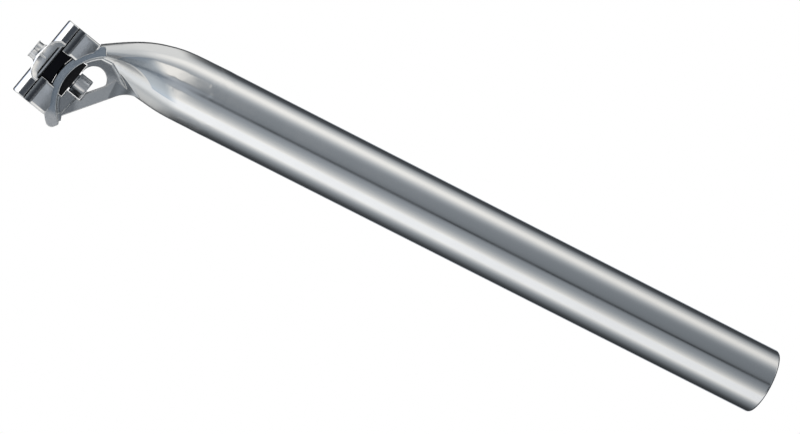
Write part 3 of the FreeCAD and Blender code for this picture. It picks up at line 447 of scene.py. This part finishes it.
# Painted shade: the rail channels are dark inside.
CHANNEL_SHADE = (0.11, 0.115, 0.125, 1)
CLAMP_ROUGHNESS = (0.10, 0.16)
CHANNEL_ROUGHNESS = 0.4
CLAMP_HAZE = 90.0
CLAMP_EDGE = 0.0004
CLAMP_SKIN = 1100.0
CLAMP_BUMP = {"Strength": 0.25, "Distance": 0.00002}
# Each crown is its top's place on the clamp and its radius.
EAR_CROWN = (0.0240, 0.100)
RIB_CROWN_LONG = (-0.0005, 0.046)
RIB_CROWN_TALL = (0.0335, 0.040)
CLAMP_TILT = math.radians(12.4)
ALONG_RAILS = Vector((math.cos(CLAMP_TILT), 0, -math.sin(CLAMP_TILT)))
UP_BOLT = Vector((math.sin(CLAMP_TILT), 0, math.cos(CLAMP_TILT)))
RAIL_ACROSS = 0.022
RAIL_UP = 0.030
# Places on the clamp, in metres from the cradle's centre: ahead along the rails, up the bolt and across.
# Each pair is the start and the end of a soft step.
NOTCH_AHEAD = (0.0070, 0.0072)
NOTCH_ACROSS = (0.0262, 0.0268)
NOTCH_UP = (0.0297, 0.0299)
ARCH_AHEAD = (0.0082, 0.0088)
ARCH_ACROSS = (0.0278, 0.0284)
ARCH_FOOT = (0.0312, 0.0318)
ARCH_TOP = (0.0323, 0.0324)
GAP_FOOT = (0.02970, 0.02974)
GAP_TOP = (0.03026, 0.0303)
GAP_ACROSS = (0.0279, 0.0280)
CHANNEL_WALL = (0.00355, 0.00365)
EAR_ACROSS = (0.0265, 0.0266)
EAR_UP = (0.0262, 0.0266)
RIB_ACROSS = (0.0283, 0.0284)

polished, tree = new_material("polished_forging")
position = add_node(tree, "TexCoord").outputs["Object"]
from_cradle = from_centre(tree, position)
ahead = along(tree, from_cradle, ALONG_RAILS)
up = along(tree, from_cradle, UP_BOLT)
across = add_math(tree, "ABSOLUTE", add_node(tree, "SeparateXYZ", {"Vector": from_cradle}).outputs["Y"])
off_bolt = add_math(tree, "ABSOLUTE", ahead)
in_notch = add_product(
    tree,
    add_fall(tree, off_bolt, *NOTCH_AHEAD),
    add_fall(tree, across, *NOTCH_ACROSS),
    add_fall(tree, up, *NOTCH_UP),
)
under_rib = add_product(
    tree,
    add_fall(tree, off_bolt, *ARCH_AHEAD),
    add_fall(tree, across, *ARCH_ACROSS),
    add_step(tree, up, *ARCH_FOOT),
    add_fall(tree, up, *ARCH_TOP),
)
in_gap = add_product(
    tree, add_step(tree, up, *GAP_FOOT), add_fall(tree, up, *GAP_TOP), add_fall(tree, across, *GAP_ACROSS)
)
off_rail = add_node(tree, "CombineXYZ", {
    "X": add_math(tree, "SUBTRACT", across, RAIL_ACROSS), "Y": add_math(tree, "SUBTRACT", up, RAIL_UP)
}).outputs[0]
from_rail = add_node(tree, "VectorMath", {0: off_rail}, operation="LENGTH").outputs["Value"]
# Inside the rail channels: painted shade and a rougher surface.
in_channel = add_fall(tree, from_rail, *CHANNEL_WALL)
# Painted shadow where the notch, the rib's arch and the gap lie.
painted_shadow = add_math(tree, "MAXIMUM", add_math(tree, "MAXIMUM", in_notch, under_rib), in_gap)
haze = use_effect(tree, handled, {"Position": position, "Scale": CLAMP_HAZE})["Haze"]
edges = use_effect(tree, edge, {"Radius": CLAMP_EDGE})
forged = use_effect(tree, skin, {"Position": position, "Scale": CLAMP_SKIN})["Height"]
tone = add_blend(tree, haze, CLAMP_COLOUR, CLAMP_SHADE)
# Painted highlight along the edges, painted shade in the rail channels, and painted shadow in the notch,
# under the rib and in the gap.
for share, colour in ((edges["Edge"], EDGE_HIGHLIGHT), (in_channel, CHANNEL_SHADE), (painted_shadow, CLAMP_PAINTED_SHADOW)):
    tone = add_blend(tree, share, tone, colour)


def crowned(tree, place, middle, radius):
    """How far a face lies below the top of a crown of this radius, at a place along it."""
    off = add_math(tree, "SUBTRACT", place, middle)
    return add_math(tree, "DIVIDE", add_product(tree, off, off), -2 * radius)


on_ear = add_product(tree, add_step(tree, across, *EAR_ACROSS), add_fall(tree, up, *EAR_UP))
on_rib = add_step(tree, across, *RIB_ACROSS)
ear_crown = add_product(tree, on_ear, crowned(tree, up, *EAR_CROWN))
both_ways = add_math(
    tree, "ADD", crowned(tree, ahead, *RIB_CROWN_LONG), crowned(tree, up, *RIB_CROWN_TALL)
)
rib_crown = add_product(tree, on_rib, both_ways)
pressed = add_node(tree, "Bump", {"Strength": 1.0, "Distance": 1.0, "Normal": edges["Normal"],
                                  "Height": add_math(tree, "ADD", ear_crown, rib_crown)})
bump = add_node(tree, "Bump", {**CLAMP_BUMP, "Height": forged, "Normal": pressed.outputs["Normal"]})
dull = add_blend(
    tree, in_channel, add_step(tree, haze, 0.0, 1.0, *CLAMP_ROUGHNESS), CHANNEL_ROUGHNESS
)
fill_inputs(tree, tree.nodes["Principled BSDF"], {
    "Metallic": 1, "Base Color": tone, "Roughness": dull, "Normal": bump.outputs["Normal"]
})
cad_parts["upper_clamp"].material_slots[0].material = polished

# Lower clamp, drawn together: with no rails in it, the bolt pulls the two forgings together until the flat
# lands inside the channels nearly meet. It is the frame's own shape with those lands raised.
MM = 0.001
LAND_HEIGHT = 29.775 * MM
LAND_REACH = 18.6 * MM
LAND_RISE = 0.42 * MM
LAND_WITHIN = 0.02 * MM
MERGE_WITHIN = 0.001 * MM


def give_finish(mesh, material):
    """One material and smooth shading all over a mesh."""
    mesh.materials.clear()
    mesh.materials.append(material)
    mesh.polygons.foreach_set("use_smooth", [True] * len(mesh.polygons))
    mesh.polygons.foreach_set("material_index", [0] * len(mesh.polygons))


lower_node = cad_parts["lower_clamp"].data
shading = [tuple(corner.vector) for corner in lower_node.corner_normals]
closed = bmesh.new()
closed.from_mesh(lower_node)
bmesh.ops.remove_doubles(closed, verts=closed.verts, dist=MERGE_WITHIN)
for point in closed.verts:
    height = (point.co - CRADLE_CENTRE).dot(UP_BOLT)
    if abs(height - LAND_HEIGHT) < LAND_WITHIN and abs(point.co.y) < LAND_REACH:
        point.co += LAND_RISE * UP_BOLT
lower_mesh = bpy.data.meshes.new("lower_clamp_closed")
closed.to_mesh(lower_mesh)
closed.free()
give_finish(lower_mesh, polished)
lower_mesh.normals_split_custom_set(shading)
lower = bpy.data.objects.new("lower_clamp_closed", lower_mesh)
bpy.context.scene.collection.objects.link(lower)
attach(lower, "clamp")
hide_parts("lower_clamp")

# Half-moon washer: a slice of round aluminium bar, black anodised, between the cradle and the bolt's head.
# Its round top fits the cradle's underside, and its sawn faces show fine lines.
WASHER_COLOUR = (0.012, 0.012, 0.014, 1)
WASHER_WORN = (0.035, 0.035, 0.038, 1)
WASHER_ROUGHNESS = (0.34, 0.48)
WASHER_SPECULAR = 0.3
WASHER_HAZE = 160.0
WASHER_EDGE = 0.0002
SAWN_LINES = {"Stretch": (0.05, 1, 1), "Scale": 2600.0}
WASHER_BUMP = {"Strength": 0.4, "Distance": 0.00002}

black, tree = new_material("black_anodised")
position = add_node(tree, "TexCoord").outputs["Object"]
haze = use_effect(tree, handled, {"Position": position, "Scale": WASHER_HAZE})["Haze"]
edges = use_effect(tree, edge, {"Radius": WASHER_EDGE})
sawn = use_effect(tree, grain, {"Position": position, **SAWN_LINES})["Height"]
tone = add_blend(tree, add_product(tree, edges["Edge"], haze), WASHER_COLOUR, WASHER_WORN)
dull = add_step(tree, haze, 0.0, 1.0, *WASHER_ROUGHNESS)
bump = add_node(tree, "Bump", {**WASHER_BUMP, "Height": sawn, "Normal": edges["Normal"]})
fill_inputs(tree, tree.nodes["Principled BSDF"], {
    "Specular IOR Level": WASHER_SPECULAR, "Base Color": tone, "Roughness": dull,
    "Normal": bump.outputs["Normal"],
})
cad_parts["half_moon_washer"].material_slots[0].material = black

# Clamp bolt: a turned steel socket screw with a rolled M6 thread, bright plated, put in from below.
# All its radii and heights are in millimetres about the bolt's own line, from the cradle's centre.
LATHE_SIDES = 72
HEX = (6, 0.0)
SQUARE = (4, math.pi / 4)
SMOOTH_TO = math.radians(35)

along_bolt = Matrix.Translation(CRADLE_CENTRE) @ Matrix.Rotation(CLAMP_TILT, 4, "Y")


def lathe(name, steps, closed=False, corner_limit=None):
    """A turned shape. Each step is a radius and a height.

    A step with a third entry, the number of flats and the angle of a corner, is many-sided there, and its
    radius is half its width across flats. The corners reach no further than the limit.
    """
    rings = []
    for step in steps:
        ring = []
        for index in range(LATHE_SIDES):
            turn = 2 * math.pi * index / LATHE_SIDES
            radius = step[0]
            if len(step) == 3:
                flats, corner = step[2]
                radius /= math.cos((turn - corner) % (2 * math.pi / flats) - math.pi / flats)
                radius = min(radius, corner_limit or radius)
            ring.append((radius * math.cos(turn) * MM, radius * math.sin(turn) * MM, step[1] * MM))
        rings.append(ring)
    points = [point for ring in rings for point in ring]
    faces = []
    for row in range(len(rings) if closed else len(rings) - 1):
        upper = (row + 1) % len(rings)
        for index in range(LATHE_SIDES):
            beside = (index + 1) % LATHE_SIDES
            faces.append((row * LATHE_SIDES + index, row * LATHE_SIDES + beside,
                          upper * LATHE_SIDES + beside, upper * LATHE_SIDES + index))
    mesh = bpy.data.meshes.new(name)
    mesh.from_pydata(points, [], faces)
    return mesh


def finished(name, meshes, material):
    """One piece of one or more meshes about the bolt's line, merged, turned outwards and put in place."""
    shape = bmesh.new()
    for mesh in meshes:
        shape.from_mesh(mesh)
    bmesh.ops.remove_doubles(shape, verts=shape.verts, dist=MERGE_WITHIN)
    bmesh.ops.recalc_face_normals(shape, faces=shape.faces)
    shape.transform(along_bolt)
    mesh = bpy.data.meshes.new(name)
    shape.to_mesh(mesh)
    shape.free()
    give_finish(mesh, material)
    mesh.set_sharp_from_angle(angle=SMOOTH_TO)
    piece = bpy.data.objects.new(name, mesh)
    bpy.context.scene.collection.objects.link(piece)
    return piece


PLATED_COLOUR = (0.83, 0.84, 0.86, 1)
PLATED_SHADE = (0.77, 0.785, 0.81, 1)
PLATED_ROUGHNESS = (0.15, 0.21)
PLATED_HAZE = 220.0
PLATED_EDGE = 0.0002
TURNED_LINES = {"Stretch": (0.04, 0.04, 1), "Scale": 3000.0}
PLATED_BUMP = {"Strength": 0.06, "Distance": 0.00001}
# Below this height, on the bolt's head, the plating is a little duller.
DULL_BELOW = (17.5 * MM, 19.5 * MM)
DULL_MORE = 0.06

plated, tree = new_material("bright_plated")
position = add_node(tree, "TexCoord").outputs["Object"]
tool_lines = add_node(tree, "Mapping", {"Vector": position, "Rotation": (0, -CLAMP_TILT, 0)}).outputs[0]
haze = use_effect(tree, handled, {"Position": position, "Scale": PLATED_HAZE})["Haze"]
edges = use_effect(tree, edge, {"Radius": PLATED_EDGE})
turned = use_effect(tree, grain, {"Position": tool_lines, **TURNED_LINES})["Height"]
from_cradle = from_centre(tree, position)
up = along(tree, from_cradle, UP_BOLT)
tone = add_blend(tree, haze, PLATED_COLOUR, PLATED_SHADE)
low_down = add_fall(tree, up, *DULL_BELOW)
dull = add_math(
    tree, "ADD", add_step(tree, haze, 0.0, 1.0, *PLATED_ROUGHNESS), add_product(tree, low_down, DULL_MORE)
)
bump = add_node(tree, "Bump", {**PLATED_BUMP, "Height": turned, "Normal": edges["Normal"]})
fill_inputs(tree, tree.nodes["Principled BSDF"], {
    "Metallic": 1, "Base Color": tone, "Roughness": dull, "Normal": bump.outputs["Normal"]
})

HEAD_FOOT = 10.7
HEAD_TOP = 17.0
COLLAR_TOP = 17.7
PLAIN_TOP = 21.4
BOLT_END = 39.2
HEAD_RADIUS = 4.85
COLLAR_RADIUS = 3.6
SHANK_RADIUS = 3.0
ROOT_RADIUS = 2.55
ROOT_RUN_IN = 0.4
END_BEVEL = 0.3
SOCKET_HALF = 2.5
SOCKET_DEPTH = 3.6
SOCKET_BEVEL = (0.6, 0.3)
# How far the head's rounded edges lie inside its radius, and how far above its foot or below its top. The
# straight sides end in two close rings, which keep the shading flat between them.
FOOT_ROUNDING = ((0.5, 0.0), (0.2, 0.08), (0.06, 0.22), (0.0, 0.5), (0.0, 0.6))
TOP_ROUNDING = ((0.0, 0.35), (0.0, 0.25), (0.07, 0.07), (0.25, 0.0))
bolt_steps = [
    (0, HEAD_FOOT + SOCKET_DEPTH),
    (SOCKET_HALF, HEAD_FOOT + SOCKET_DEPTH, HEX),
    (SOCKET_HALF, HEAD_FOOT + SOCKET_BEVEL[1], HEX),
    (SOCKET_HALF + SOCKET_BEVEL[0], HEAD_FOOT),
]
bolt_steps += [(HEAD_RADIUS - inside, HEAD_FOOT + rise) for inside, rise in FOOT_ROUNDING]
bolt_steps += [(HEAD_RADIUS - inside, HEAD_TOP - drop) for inside, drop in TOP_ROUNDING]
bolt_steps += [
    (COLLAR_RADIUS, HEAD_TOP),
    (COLLAR_RADIUS, COLLAR_TOP),
    (SHANK_RADIUS, COLLAR_TOP),
    (SHANK_RADIUS, PLAIN_TOP),
    (ROOT_RADIUS, PLAIN_TOP + ROOT_RUN_IN),
    (ROOT_RADIUS, BOLT_END - END_BEVEL),
    (ROOT_RADIUS - END_BEVEL, BOLT_END),
    (0, BOLT_END),
]

# The thread's turns: a ridge of four-sided section along a spiral, half sunk in the shank. It starts a
# little past the plain shank and stops a little short of the bolt's end.
THREAD_PITCH = 1.0
THREAD_HEIGHT = 0.43
THREAD_START = 0.8
THREAD_STOP = 0.6
TURN_STEPS = 36
RIDGE_SIDES = 4
thread_tree = bpy.data.node_groups.new("rolled_thread", "GeometryNodeTree")
thread_sockets = {}
for socket, kind in (("Pitch", "Float"), ("Length", "Float"), ("Root Radius", "Float"),
                     ("Ridge", "Float"), ("Steel", "Material")):
    made = thread_tree.interface.new_socket(socket, in_out="INPUT", socket_type="NodeSocket" + kind)
    thread_sockets[socket] = made.identifier
thread_tree.interface.new_socket("Geometry", in_out="OUTPUT", socket_type="NodeSocketGeometry")
given = thread_tree.nodes.new("NodeGroupInput").outputs
turns = thread_tree.nodes.new("ShaderNodeMath")
turns.operation = "DIVIDE"
spiral = thread_tree.nodes.new("GeometryNodeCurveSpiral")
spiral.inputs["Resolution"].default_value = TURN_STEPS
upright = thread_tree.nodes.new("GeometryNodeSetCurveNormal")
upright.mode = "Z_UP"
ridge = thread_tree.nodes.new("GeometryNodeCurvePrimitiveCircle")
ridge.inputs["Resolution"].default_value = RIDGE_SIDES
swept = thread_tree.nodes.new("GeometryNodeCurveToMesh")
swept.inputs["Fill Caps"].default_value = True
real = thread_tree.nodes.new("GeometryNodeRealizeInstances")
dressed = thread_tree.nodes.new("GeometryNodeSetMaterial")
put_out = thread_tree.nodes.new("NodeGroupOutput").inputs
for source, target in (
    (given["Length"], turns.inputs[0]),
    (given["Pitch"], turns.inputs[1]),
    (turns.outputs[0], spiral.inputs["Rotations"]),
    (given["Root Radius"], spiral.inputs["Start Radius"]),
    (given["Root Radius"], spiral.inputs["End Radius"]),
    (given["Length"], spiral.inputs["Height"]),
    (spiral.outputs["Curve"], upright.inputs["Curve"]),
    (upright.outputs["Curve"], swept.inputs["Curve"]),
    (given["Ridge"], ridge.inputs["Radius"]),
    (ridge.outputs["Curve"], swept.inputs["Profile Curve"]),
    (swept.outputs["Mesh"], real.inputs["Geometry"]),
    (real.outputs["Geometry"], dressed.inputs["Geometry"]),
    (given["Steel"], dressed.inputs["Material"]),
    (dressed.outputs["Geometry"], put_out["Geometry"]),
):
    thread_tree.links.new(source, target)


def threaded(name, length, root, ridge_height):
    """The mesh of a thread that starts at the height zero and runs up the bolt's line."""
    carrier = bpy.data.objects.new(name, bpy.data.meshes.new(name))
    bpy.context.scene.collection.objects.link(carrier)
    modifier = carrier.modifiers.new("thread", "NODES")
    modifier.node_group = thread_tree
    for socket, amount in (("Pitch", THREAD_PITCH * MM), ("Length", length * MM),
                           ("Root Radius", root * MM), ("Ridge", ridge_height * MM), ("Steel", plated)):
        modifier[thread_sockets[socket]] = amount
    evaluated = carrier.evaluated_get(bpy.context.evaluated_depsgraph_get())
    mesh = bpy.data.meshes.new_from_object(evaluated)
    carrier.modifiers.remove(modifier)
    bpy.data.objects.remove(carrier)
    return mesh


thread_length = BOLT_END - THREAD_STOP - PLAIN_TOP - THREAD_START
thread = threaded("bolt_thread", thread_length, ROOT_RADIUS, THREAD_HEIGHT)
thread.transform(Matrix.Translation((0, 0, (PLAIN_TOP + THREAD_START) * MM)))
bolt = finished("socket_bolt", [lathe("bolt_turned", bolt_steps), thread], plated)
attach(bolt, "clamp")
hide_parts("clamp_bolt")

# Clamp nut: turned steel with a hollow flare on the rib's crown and a square tongue in the pocket below,
# bright plated like the bolt. Its body narrows a little up to the lip round its top.
NUT_FOOT = 35.8
NUT_TOP = 40.1
NUT_RADIUS = 4.1
NUT_TAPER = 0.06
SKIRT_RADIUS = 5.8
SKIRT_LIP = 0.25
FLARE_TOP = 2.0
FLARE_STEPS = 8
BORE_RADIUS = 3.05
BORE_BEVEL = 0.2
TONGUE_HALF = 4.2
TONGUE_DEPTH = 2.8
TONGUE_BEVEL = 0.15
TONGUE_CORNER = SKIRT_RADIUS - 0.1
# How far the lip stands out of the body, and how far below the nut's top.
LIP_SECTION = ((0.0, 0.5), (0.25, 0.4), (0.25, 0.25), (0.17, 0.08), (0.0, 0.0))
nut_steps = [
    (BORE_RADIUS, NUT_FOOT - TONGUE_DEPTH),
    (TONGUE_HALF - TONGUE_BEVEL, NUT_FOOT - TONGUE_DEPTH, SQUARE),
    (TONGUE_HALF, NUT_FOOT - TONGUE_DEPTH + TONGUE_BEVEL, SQUARE),
    (TONGUE_HALF, NUT_FOOT, SQUARE),
    (SKIRT_RADIUS, NUT_FOOT),
]
for step in range(FLARE_STEPS + 1):
    turn = math.pi / 2 * step / FLARE_STEPS
    nut_steps.append((
        SKIRT_RADIUS - (SKIRT_RADIUS - NUT_RADIUS) * math.sin(turn),
        NUT_FOOT + FLARE_TOP - (FLARE_TOP - SKIRT_LIP) * math.cos(turn),
    ))
nut_steps += [(NUT_RADIUS - NUT_TAPER + out, NUT_TOP - drop) for out, drop in LIP_SECTION]
nut_steps += [(BORE_RADIUS + BORE_BEVEL, NUT_TOP), (BORE_RADIUS, NUT_TOP - BORE_BEVEL)]
nut = finished(
    "flared_nut", [lathe("nut_turned", nut_steps, closed=True, corner_limit=TONGUE_CORNER)], plated
)
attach(nut, "clamp")
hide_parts("clamp_nut")
